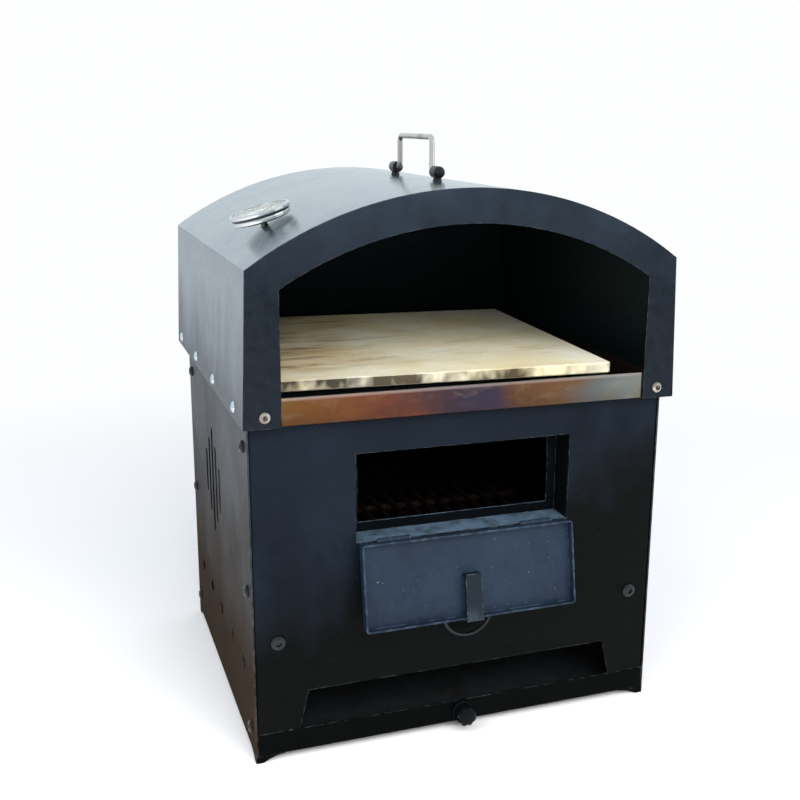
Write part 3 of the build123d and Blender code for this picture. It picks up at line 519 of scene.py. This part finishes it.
bright_steel = bare_metal("bright_steel", grey(206, 198, 188), 0.16, grey(140, 128, 114), 0.2, 40)
chrome = bare_metal("gauge_chrome", grey(212, 214, 214), 0.12, grey(160, 158, 150), 0.1, 30,
                    painted_shade=gauge_shade)
zinc = bare_metal("zinc", grey(120, 122, 126), 0.35, grey(80, 78, 74), 0.3, 120)
ring_wire = bare_metal("ring_wire", grey(54, 57, 60), 0.42, grey(38, 35, 32), 0.4, 90)
fired_iron = bare_metal("grate_iron", grey(58, 52, 48), 0.62, grey(74, 44, 28), 0.55, 70,
                        metallic=0.8, relief=0.4)
inner_steel = bare_metal("inner_steel", grey(54, 58, 62), 0.5, grey(26, 24, 23), 0.7, 30,
                         metallic=0.7, relief=0.2)
black_screw = bare_metal("black_screw", grey(10, 11, 13), 0.28, grey(34, 32, 30), 0.12, 200,
                         metallic=0.2)
rivet_steel = bare_metal("rivet_steel", grey(212, 220, 228), 0.2, grey(140, 138, 134), 0.2, 160)
bolt_steel = bare_metal("bolt_steel", grey(178, 170, 158), 0.22, grey(96, 84, 70), 0.35, 160,
                        painted_shade=socket_shade)
print("metals", len(bpy.data.materials), "materials so far")

# %% [markdown]
# ## Knob, dial and glass
#
# The drawer's knob is moulded phenolic, black and faintly glossy. The dial is a white enamelled
# plate, yellowed a little by smoke, and the glass over it is clear with a thin, patchy film of
# soot.

# %% Make the knob plastic, the dial and the glass
def knob_black():
    """Black phenolic: near-black with a soft sheen, scuffs on the raised flutes."""
    plastic = Finish("knob_plastic", Specular_IOR_Level=0.08)
    fine = plastic.noise(400, 3, 0.6)
    cloud = plastic.noise(90, 3, 0.5)
    scuffs = plastic.edges(0.0006) * fine.rise(0.4, 0.7) * 0.4
    base = plastic.mix(cloud, grey(5, 6, 8), grey(13, 14, 18))
    plastic.set("Base Color", plastic.mix(scuffs, base, grey(58, 58, 62)))
    plastic.set("Roughness", (0.26 + (fine - 0.5) * 0.2).clamped())
    plastic.bump(fine, 0.12, 0.0003, eased=0.0005)
    return plastic.material


def enamel_dial():
    """White enamel with a smoky bloom."""
    enamel = Finish("gauge_face")
    cloud = enamel.noise(120, 4, 0.6)
    bloom = cloud.rise(0.4, 0.8) * 0.6
    enamel.set("Base Color", enamel.mix(bloom, grey(234, 240, 238), grey(218, 216, 204)))
    enamel.set("Roughness", 0.4 + cloud * 0.2)
    enamel.bump(cloud, 0.05, 0.0002)
    return enamel.material


def print_black(name, colour):
    """Printed or painted marks: flat colour broken by a fine grain."""
    ink = Finish(name)
    grain = ink.noise(2500, 2, 0.5)
    ink.set("Base Color", ink.mix(grain.rise(0.3, 0.8), colour, scaled(colour, 0.6, 0.01)))
    ink.set("Roughness", 0.45 + grain * 0.2)
    ink.bump(grain, 0.05, 0.0002)
    return ink.material


def clear_glass():
    """Thin clear glass, its alpha low so that the dial shows, with a smoky film."""
    glass = Finish("glass", Specular_IOR_Level=0.5)
    film = glass.noise(150, 4, 0.6)
    glass.set("Base Color", glass.mix(film, grey(235, 238, 238), grey(190, 186, 176)))
    glass.set("Roughness", 0.05 + film * 0.08)
    glass.set("Alpha", 0.10 + film.rise(0.5, 0.8) * 0.10)
    glass.bump(film, 0.02, 0.0002)
    return glass.material


knob_plastic = knob_black()
dial_enamel = enamel_dial()
dial_ink = print_black("dial_ink", grey(24, 24, 26))
pointer_paint = print_black("pointer_paint", grey(110, 30, 24))
gauge_glass = clear_glass()
print("knob, dial and glass", len(bpy.data.materials), "materials so far")

# %% [markdown]
# ## Give every piece its finish
#
# Each node of the measured oven keeps its mesh and takes a finish by name. The list reads like the
# maker's parts list, so a wrong finish is easy to spot.

# %% Assign the finishes
finish_of = {
    front_paint: ["front_panel", "back_panel", "base_pan"],
    face_paint: ["hood_face"],
    side_paint: ["side_panel_left", "side_panel_right"],
    hood_paint: ["hood_shell", "hood_back"],
    door_paint: ["fire_door", "hinge_frame_leaves", "hinge_door_leaves"],
    strap_paint: ["door_strap"],
    casing_paint: ["fire_casing"],
    strip_paint: ["drawer_strip", "corner_feet"],
    tray_steel: ["shelf_tray"],
    stone_finish: ["baking_stone"],
    inner_steel: ["ash_drawer", "grate_rail_left", "grate_rail_right", "stone_rails"],
    fired_iron: ["fire_grate"],
    bright_steel: ["bail_handle", "hood_rivets", "hood_bolts"],
    chrome: ["gauge_case"],
    zinc: ["hinge_pins", "hood_bolt_nuts", "handle_nuts", "gauge_nut", "knob_screw"],
    ring_wire: ["door_ring"],
    black_screw: ["side_screws_left", "side_screws_right", "grate_screws",
                  "handle_barrel_front", "handle_barrel_rear"],
    knob_plastic: ["drawer_knob"],
    dial_enamel: ["gauge_dial"],
    pointer_paint: ["gauge_pointer"],
    gauge_glass: ["gauge_glass"],
}
finished = []
for material, names in finish_of.items():
    for name in names:
        for slot in nodes[name].material_slots:
            slot.material = material
        finished.append(name)
print("finished", len(finished), "left", sorted(set(nodes) - set(finished)))

# %% [markdown]
# ## Turned pieces: screws, rivets, barrels and the knob
#
# A button head, a rivet's dome, a fluted knob: each is a profile turned about an axis. The measured
# oven has them as plain solids. Here one function lays the profile on a grid of turn by height at
# every seat at once, and the radius may change with the turn, which makes a hexagon socket or a
# knob's flutes. The real ones are cold headed or moulded, so their edges are soft.

# %% Turn a profile about many axes
def mesh_piece(name, places, faces, material, body, smooth=0.0):
    """Make an object of these places and faces that rides on a body.

    With smooth, what coincides is merged, the faces are turned outwards and shaded smooth, and
    only edges sharper than that angle stay sharp; without it the mesh stays flat as given."""
    mesh = bpy.data.meshes.new(name)
    mesh.from_pydata(np.asarray(places).reshape(-1, 3).tolist(), [], np.asarray(faces).tolist())
    if smooth:
        shape = bmesh.new()
        shape.from_mesh(mesh)
        bmesh.ops.remove_doubles(shape, verts=shape.verts, dist=1e-6)
        bmesh.ops.recalc_face_normals(shape, faces=shape.faces)
        gaps = sum(not edge.is_manifold for edge in shape.edges)
        shape.to_mesh(mesh)
        print(name, "open edges", gaps, "volume", shape.calc_volume(signed=True))
        shape.free()
        mesh.validate()
        mesh.polygons.foreach_set("use_smooth", np.ones(len(mesh.polygons), dtype=bool))
        mesh.set_sharp_from_angle(angle=smooth)
    mesh.update()
    piece = bpy.data.objects.new(name, mesh)
    bpy.context.scene.collection.objects.link(piece)
    mesh.materials.append(material)
    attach(piece, body)
    return piece


def grid_faces(rows, columns):
    """Quads between neighbouring rows; the last column joins the first one."""
    row, column = np.meshgrid(np.arange(rows - 1), np.arange(columns), indexing="ij")
    beside = (column + 1) % columns
    here, above = row * columns, (row + 1) * columns
    quads = [here + column, here + beside, above + beside, above + column]
    return np.stack(quads, axis=-1).reshape(-1, 4)


def full_turn(steps):
    """Angles once round, without the last, which is the first again."""
    return np.linspace(0, 2 * math.pi, steps, endpoint=False)


def all_round(radii, steps):
    """A round profile as a grid: the same radius at each of the steps."""
    return np.array(radii)[:, None] * np.ones(steps)


def turned(radii, heights, seats):
    """Place = seat + height times axis + radius times (cosine times side + sine times up).

    radii has a row for each height and a column for each step of the turn."""
    turns = full_turn(radii.shape[1])
    heights = np.array(heights)[:, None, None]
    block = grid_faces(*radii.shape)
    places, faces = [], []
    for middle, axis in seats:
        axis = np.array(axis, dtype=float)
        side = np.cross(axis, (0.0, 0.0, 1.0) if abs(axis[2]) < 0.9 else (0.0, 1.0, 0.0))
        side /= np.linalg.norm(side)
        up = np.cross(axis, side)
        ring = np.cos(turns)[:, None] * side + np.sin(turns)[:, None] * up
        faces.append(block + len(places) * radii.size)
        places.append(np.array(middle) + heights * axis + radii[..., None] * ring)
    return np.concatenate(places), np.concatenate(faces)


def button_heads(seats, head, height, socket, shank=0.0025, reach=0.009, steps=30):
    """A shank, a domed head (radius by cosine, height by sine) and a hexagon socket in it."""
    turns = full_turn(steps)
    sixth = math.pi / 3
    hexagon = socket / np.cos((turns % sixth) - sixth / 2) * math.cos(sixth / 2)
    first, last = 0.12, 1.05
    dome = np.linspace(first, last, 7)
    radii = [0.0, shank, shank, head * 0.97, *(head * np.cos(dome - first))]
    heights = [-reach, -reach, 0.0, 0.0, *(height * np.sin(dome) / math.sin(last))]
    rings = [all_round(radii, steps)]
    for narrow, deep in ((1.02, 1.0), (0.98, 0.9), (0.94, 0.35), (0.0, 0.3)):
        rings.append(hexagon[None] * narrow)
        heights.append(height * deep)
    return turned(np.vstack(rings), heights, seats)


print("profiles ready")

# %% [markdown]
# ## Screws and bolts
#
# Twelve black button screws hold the sides, six a side, in two columns of three. Four wider ones
# hold the grate's rails at the front and back, and two stainless bolts hold the hood's face.

# %% Head the screws and bolts
side_x, column_y, rows_z = 0.195, 0.151, (0.028, 0.1585, 0.289)
side_seats = [((side * side_x, end * column_y, z), (side, 0, 0))
              for side in (-1, 1) for end in (-1, 1) for z in rows_z]
places, faces = button_heads(side_seats, 0.0055, 0.003, 0.0026)
side_screws = mesh_piece("side_screws", places, faces, black_screw, "oven", 0.6)
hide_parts("side_screws_left", "side_screws_right")

grate_x, grate_y, grate_z = 0.173, 0.169, 0.114
grate_seats = [((side * grate_x, end * grate_y, grate_z), (0, end, 0))
               for side in (-1, 1) for end in (-1, 1)]
places, faces = button_heads(grate_seats, 0.007, 0.003, 0.0028)
grate_heads = mesh_piece(
    "grate_screw_heads", places, faces, black_screw, "oven", 0.6
)
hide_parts("grate_screws")

hood_front_y = -0.183
bolt_seats = [((side * bolt_x, hood_front_y, bolt_z), (0, -1, 0)) for side in (-1, 1)]
places, faces = button_heads(bolt_seats, 0.0052, 0.0032, 0.0027)
bolt_heads = mesh_piece("hood_bolt_heads", places, faces, bolt_steel, "oven", 0.6)
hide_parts("hood_bolts")
print("heads", len(side_seats) + len(grate_seats) + len(bolt_seats))

# %% [markdown]
# ## Rivets
#
# Eight domed rivets run along the hood's lower edge, four a side. The hood's side leans in a
# little towards the top, so each rivet's axis is tipped by that slope.

# %% Dome the rivets
rivet_ys, rivet_z = (-0.14, -0.032, 0.076, 0.184), bolt_z
shank_radius, shank_depth, dome_radius, dome_height = 0.0024, 0.006, 0.0049, 0.0026
dome = np.linspace(0, math.pi / 2, 7)
radii = np.concatenate([[0.0, shank_radius, shank_radius], dome_radius * np.cos(dome)])
heights = np.concatenate([[-shank_depth, -shank_depth, 0.0], dome_height * np.sin(dome)])
hood_foot_x, above_foot = 0.2, 0.01
side_lean, side_height = 0.005, 0.1295
slope = math.atan2(side_lean, side_height)
rivet_x = hood_foot_x - above_foot * math.tan(slope)
rivet_seats = [((side * rivet_x, y, rivet_z), (side * math.cos(slope), 0, math.sin(slope)))
               for side in (-1, 1) for y in rivet_ys]
places, faces = turned(all_round(radii, steps=24), heights, rivet_seats)
rivets = mesh_piece("rivet_domes", places, faces, rivet_steel, "oven", 0.6)
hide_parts("hood_rivets")
print("rivets", len(rivet_seats))

# %% [markdown]
# ## The drawer's knob
#
# The knob has eight flutes for the fingers. Its radius dips by a cosine of eight times the turn,
# raised to a power that keeps the grip broad and the flutes narrow. The flutes fade out towards
# the middle of its face, and its collar is plain.

# %% Mould the knob
knob_steps, flute_count, flute_depth = 96, 8, 0.13
flute = flute_depth * (0.5 + 0.5 * np.cos(flute_count * full_turn(knob_steps))) ** 1.5
collar = [0.0, 0.0092, 0.0096, 0.0096, 0.0090]
collar_at = [0.0, 0.0, 0.0004, 0.0026, 0.0030]
grip = np.array([0.0088, 0.0094, 0.0099, 0.0101, 0.0100, 0.0094, 0.0082, 0.0064, 0.0040, 0.0])
grip_at = [0.0030, 0.0042, 0.0080, 0.0112, 0.0134, 0.0151, 0.0164, 0.0173, 0.0178, 0.0180]
whole_flute = 0.0095
fade = np.clip(grip / whole_flute, 0, 1)[:, None] ** 2
radii = np.vstack([all_round(collar, knob_steps), grip[:, None] * (1 - flute * fade)])
knob_seat = ((0, -0.169, 0.01725), (0, -1, 0))
places, faces = turned(radii, [*collar_at, *grip_at], [knob_seat])
knob = mesh_piece("knob", places, faces, knob_plastic, "ash_drawer", 0.8)
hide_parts("drawer_knob")
print("knob", len(knob.data.polygons), "faces")

# %% [markdown]
# ## The bail handle
#
# The handle is one length of polished round rod, bent four times. A circle carried along the path
# keeps the bends true: the path is straight runs joined by quarter circles in the plane X = 0, and
# each ring stands square to it. Black caps close the barrels that it turns in.

# %% Bend the rod and cap the barrels
def bent_rod(corners, bend, radius, steps=9, around=20):
    """Straight runs and arcs: near a corner the path turns on a circle that touches both."""
    corners = np.array(corners)
    path = [corners[0]]
    for before, here, after in zip(corners[:-2], corners[1:-1], corners[2:]):
        inward = (before - here) / np.linalg.norm(before - here)
        outward = (after - here) / np.linalg.norm(after - here)
        centre = here + (inward + outward) * bend
        quarter = np.linspace(0, math.pi / 2, steps)[:, None]
        path += list(centre - outward * bend * np.cos(quarter) - inward * bend * np.sin(quarter))
    path = np.array(path + [corners[-1]])
    along = np.gradient(path, axis=0)
    along /= np.linalg.norm(along, axis=1)[:, None]
    sideways = np.array([1.0, 0.0, 0.0])
    square = np.cross(along, sideways)
    turns = full_turn(around)[None, :, None]
    ring = np.cos(turns) * sideways + np.sin(turns) * square[:, None]
    start, end = [np.repeat(point[None, None], around, 1) for point in (path[0], path[-1])]
    rings = np.concatenate([start, path[:, None] + radius * ring, end])
    return rings, grid_faces(len(rings), around)[:, ::-1]


rod_middle, half_grip, half_rod = -0.023, 0.047, 0.062
axis_z, top_z = 0.5115, 0.5422
rod_corners = [
    (0, rod_middle + y, z) for y, z in (
        (-half_rod, axis_z), (-half_grip, axis_z), (-half_grip, top_z),
        (half_grip, top_z), (half_grip, axis_z), (half_rod, axis_z),
    )
]
places, faces = bent_rod(rod_corners, bend=0.006, radius=0.0026)
rod = mesh_piece("handle_rod", places, faces, bright_steel, "handle", 0.7)
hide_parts("bail_handle")

bore, neck, outer = 0.0028, 0.0048, 0.0054
bore_depth, cap_start, cap_dome = 0.0115, 0.0130, 0.0030
dome = np.linspace(0, math.pi / 2, 7)
barrel_radii = [0.0, bore, bore, neck, outer, *(outer - 0.0026 * (1 - np.cos(dome))), 0.0015, 0.0]
barrel_at = [bore_depth, bore_depth, 0.0, 0.0, 0.0007, *(cap_start + cap_dome * np.sin(dome))]
barrel_at += [0.0163, 0.0164]
post_radii = [0.0, 0.0046, 0.0038, 0.0038, 0.0]
post_at = [-0.0085, -0.0085, -0.006, -0.0036, -0.0036]
to_barrel, to_post = 0.0535, 0.0535 + 0.0085


def barrel_cap(way, steps=28):
    """A cap with a blind bore that the rod's end turns in, and the post that it stands on."""
    barrel_seat = ((0, rod_middle + way * to_barrel, axis_z), (0, way, 0))
    post_seat = ((0, rod_middle + way * to_post, axis_z), (0, 0, 1))
    barrel, barrel_faces = turned(all_round(barrel_radii, steps), barrel_at, [barrel_seat])
    post, post_faces = turned(all_round(post_radii, steps), post_at, [post_seat])
    places = np.concatenate([barrel.reshape(-1, 3), post.reshape(-1, 3)])
    return places, np.concatenate([barrel_faces, post_faces + barrel.size // 3])


for name, way in (("handle_barrel_front", -1), ("handle_barrel_rear", 1)):
    places, faces = barrel_cap(way)
    barrel = mesh_piece(name + "_cap", places, faces, black_screw, "oven", 0.7)
    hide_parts(name)
print("handle pieces 3")

# %% [markdown]
# ## The ring pull
#
# The door's ring is thin dark wire, bent round and welded shut. A ring is the simplest carried
# profile: each point is the middle, plus the big radius along one turn, plus the wire's radius
# along a second turn. It hangs from the strap's eye, so its top stays where the eye is.

# %% Hang the ring
def wire_ring(middle, big, wire, around=72, about=14):
    """Place = middle + (big + wire cos b)(cos a X + sin a Z) + wire sin b Y."""
    first, second = full_turn(around)[:, None], full_turn(about)[None]
    reach = big + wire * np.cos(second)
    sideways = wire * np.sin(second) * np.ones_like(first)
    places = np.stack([reach * np.cos(first), sideways, reach * np.sin(first)], axis=-1)
    closed = np.vstack([places, places[:1]])
    return closed + np.array(middle), grid_faces(around + 1, about)


ring_low, ring_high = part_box("door_ring")
wire_radius = (ring_high[1] - ring_low[1]) / 2
ring_radius = (ring_high[0] - ring_low[0]) / 2 - wire_radius
ring_middle = [(low + high) / 2 for low, high in zip(ring_low, ring_high)]
places, faces = wire_ring(ring_middle, ring_radius, wire_radius)
ring_piece = mesh_piece("ring", places, faces, ring_wire, "ring_pull", 1.0)
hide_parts("door_ring")
print("ring", ring_radius, wire_radius, ring_low, ring_high)

# %% [markdown]
# ## Marks on the dial
#
# A thermometer's dial has a ring of ticks and a few numbers. The ticks are small quads on a ring,
# worked out all at once: each tick's four corners are its angle's direction times an inner or an
# outer radius, plus or minus half a width across. The numbers are text turned into a mesh. Both
# lie a hair above the enamel.

# %% Lay the ticks and numbers on the dial
across = np.array([math.cos(dial_lean), 0.0, math.sin(dial_lean)])
onward = np.array([0.0, 1.0, 0.0])
half_plate = 0.00036
dial_middle = dial_centre + dial_normal * half_plate
last_mark = 130


def on_dial(radius, clockwise):
    """Place on the dial: radius times sine goes across, times cosine goes onward."""
    way = np.sin(clockwise)[..., None] * across + np.cos(clockwise)[..., None] * onward
    return dial_middle + radius * way


def dial_ticks(count=33, outer=0.0212):
    """Each tick is a quad from an inner to an outer radius; every fourth is longer and wider."""
    turns = np.radians(np.linspace(-last_mark, last_mark, count))
    long = np.arange(count) % 4 == 0
    inner = np.where(long, 0.0176, 0.0192)
    half = np.where(long, 0.00042, 0.00022)
    corners = np.stack([
        on_dial(inner[:, None], turns - half / inner),
        on_dial(inner[:, None], turns + half / inner),
        on_dial(outer, turns + half / outer),
        on_dial(outer, turns - half / outer),
    ], axis=1)
    return corners, np.arange(count * 4).reshape(-1, 4)[:, ::-1]


tick_places, tick_faces = dial_ticks()
ticks = mesh_piece("dial_ticks", tick_places, tick_faces, dial_ink, "oven")


def dial_number(text, clockwise, radius=0.0140, size=0.0052):
    """A number, standing upright on the dial at that radius and angle."""
    curve = bpy.data.curves.new("number_" + text, "FONT")
    curve.body = text
    curve.size = size
    curve.align_x = "CENTER"
    curve.align_y = "CENTER"
    holder = bpy.data.objects.new("number_" + text, curve)
    bpy.context.scene.collection.objects.link(holder)
    bpy.context.view_layer.update()
    mesh = bpy.data.meshes.new_from_object(holder)
    bpy.data.objects.remove(holder)
    flat = np.empty(len(mesh.vertices) * 3)
    mesh.vertices.foreach_get("co", flat)
    flat = flat.reshape(-1, 3)
    centre = on_dial(radius, np.array(clockwise))
    placed = centre + flat[:, :1] * across + flat[:, 1:2] * onward
    mesh.vertices.foreach_set("co", placed.ravel())
    mesh.update()
    piece = bpy.data.objects.new("number_" + text, mesh)
    bpy.context.scene.collection.objects.link(piece)
    mesh.materials.clear()
    mesh.materials.append(dial_ink)
    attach(piece, "oven")
    return piece


numbers = ("0", "100", "200", "300", "400")
for number, angle in zip(numbers, np.linspace(-last_mark, last_mark, len(numbers))):
    dial_number(number, math.radians(angle))
print("dial marks", len(ticks.data.polygons), "ticks and", len(numbers), "numbers")

# %% [markdown]
# ## The floor
#
# A product is shown on a pale floor that runs out into a white background. Close to the oven the
# floor is matt paper that takes its shadow. Further out, but only as the camera sees it, the paper
# fades into a plain white glow, so the floor throws no more light on the oven than paper would.

# %% Lay the floor
backdrop = (0.985, 0.99, 1.0)


def pale_floor():
    """Faintly mottled matt paper; to the camera it fades to white between two radii."""
    paper = Finish("floor_paper", Specular_IOR_Level=0.2)
    cloud = paper.noise(3, 3, 0.5)
    paper.set("Base Color", paper.mix(cloud, (0.88, 0.88, 0.88), (0.92, 0.92, 0.92)))
    paper.set("Roughness", 0.9)
    x, y = paper.axes()[:2]
    away = (x * x + y * y).power(0.5).rise(0.45, 1.3)
    seen = paper.node("ShaderNodeLightPath", {})
    glow = paper.node("ShaderNodeEmission", {"Color": backdrop})
    matt = Wire(paper, paper.shader.outputs[0])
    both = paper.node("ShaderNodeMixShader", {0: seen * away, 1: matt, 2: glow})
    paper.join(paper.tree.nodes["Material Output"].inputs["Surface"], both)
    return paper.material


floor_mesh = bpy.data.meshes.new("floor")
reach = 14.0
floor_corners = [(x * reach, y * reach, 0) for x, y in ((-1, -1), (1, -1), (1, 1), (-1, 1))]
floor_mesh.from_pydata(floor_corners, [], [(0, 1, 2, 3)])
floor_mesh.materials.append(pale_floor())
floor = bpy.data.objects.new("floor", floor_mesh)
bpy.context.scene.collection.objects.link(floor)
print("floor", reach * 2, "metres wide")

# %% [markdown]
# ## Lamps and sky
#
# A key lamp from the left, a front lamp and a weak fill from the right give an even level, at
# which a colour renders about as it was written. The key and front lamps stay out of the
# reflections, so that the satin roof mirrors the sky and not the lamps. The sky has one colour
# for what it lights, a bluer one for what mirrors it, and the backdrop's for the camera and for
# what is seen through glass.

# %% Hang the lamps and set the sky
def lamp(name, place, aim_at, size, watts, tone):
    """A soft rectangle of light at a place, aimed at a point."""
    light = bpy.data.lights.new(name, "AREA")
    light.shape = "RECTANGLE"
    light.size, light.size_y = size
    light.energy = watts
    light.color = tone
    holder = bpy.data.objects.new(name, light)
    holder.location = place
    holder.rotation_euler = (Vector(aim_at) - Vector(place)).to_track_quat("-Z", "Y").to_euler()
    bpy.context.scene.collection.objects.link(holder)
    return holder


key = lamp("key", (-1.3, -0.9, 1.9), (0, 0, 0.25), (1.4, 1.4), 22, (1.0, 0.99, 0.97))
front = lamp("front", (0.05, -1.75, 1.27), (0, 0, 0.33), (1.5, 1.0), 46, (1.0, 0.98, 0.95))
lamp("fill", (1.7, -1.1, 1.2), (0, 0, 0.25), (1.6, 1.6), 6, (0.96, 0.98, 1.0))
key.visible_glossy = False
front.visible_glossy = False

world = bpy.data.worlds.new("studio")
bpy.context.scene.world = world
world.use_nodes = True
sky = world.node_tree
background = sky.nodes["Background"]
path = sky.nodes.new("ShaderNodeLightPath")


def sky_mix(amount, first, second):
    """Mix two sky colours by one output of the Light Path node."""
    tone = sky.nodes.new("ShaderNodeMix")
    tone.data_type = "RGBA"
    sky.links.new(path.outputs[amount], tone.inputs[0])
    for socket, colour in ((tone.inputs[6], first), (tone.inputs[7], second)):
        if isinstance(colour, tuple):
            socket.default_value = (*colour, 1.0)
        else:
            sky.links.new(colour, socket)
    return tone.outputs[2]


tone = sky_mix("Is Glossy Ray", (0.62, 0.67, 0.74), (0.84, 0.945, 1.0))
tone = sky_mix("Is Transmission Ray", tone, backdrop)
tone = sky_mix("Is Camera Ray", tone, backdrop)
sky.links.new(tone, background.inputs["Color"])
background.inputs["Strength"].default_value = 1.0

bpy.context.scene.view_settings.view_transform = "Standard"
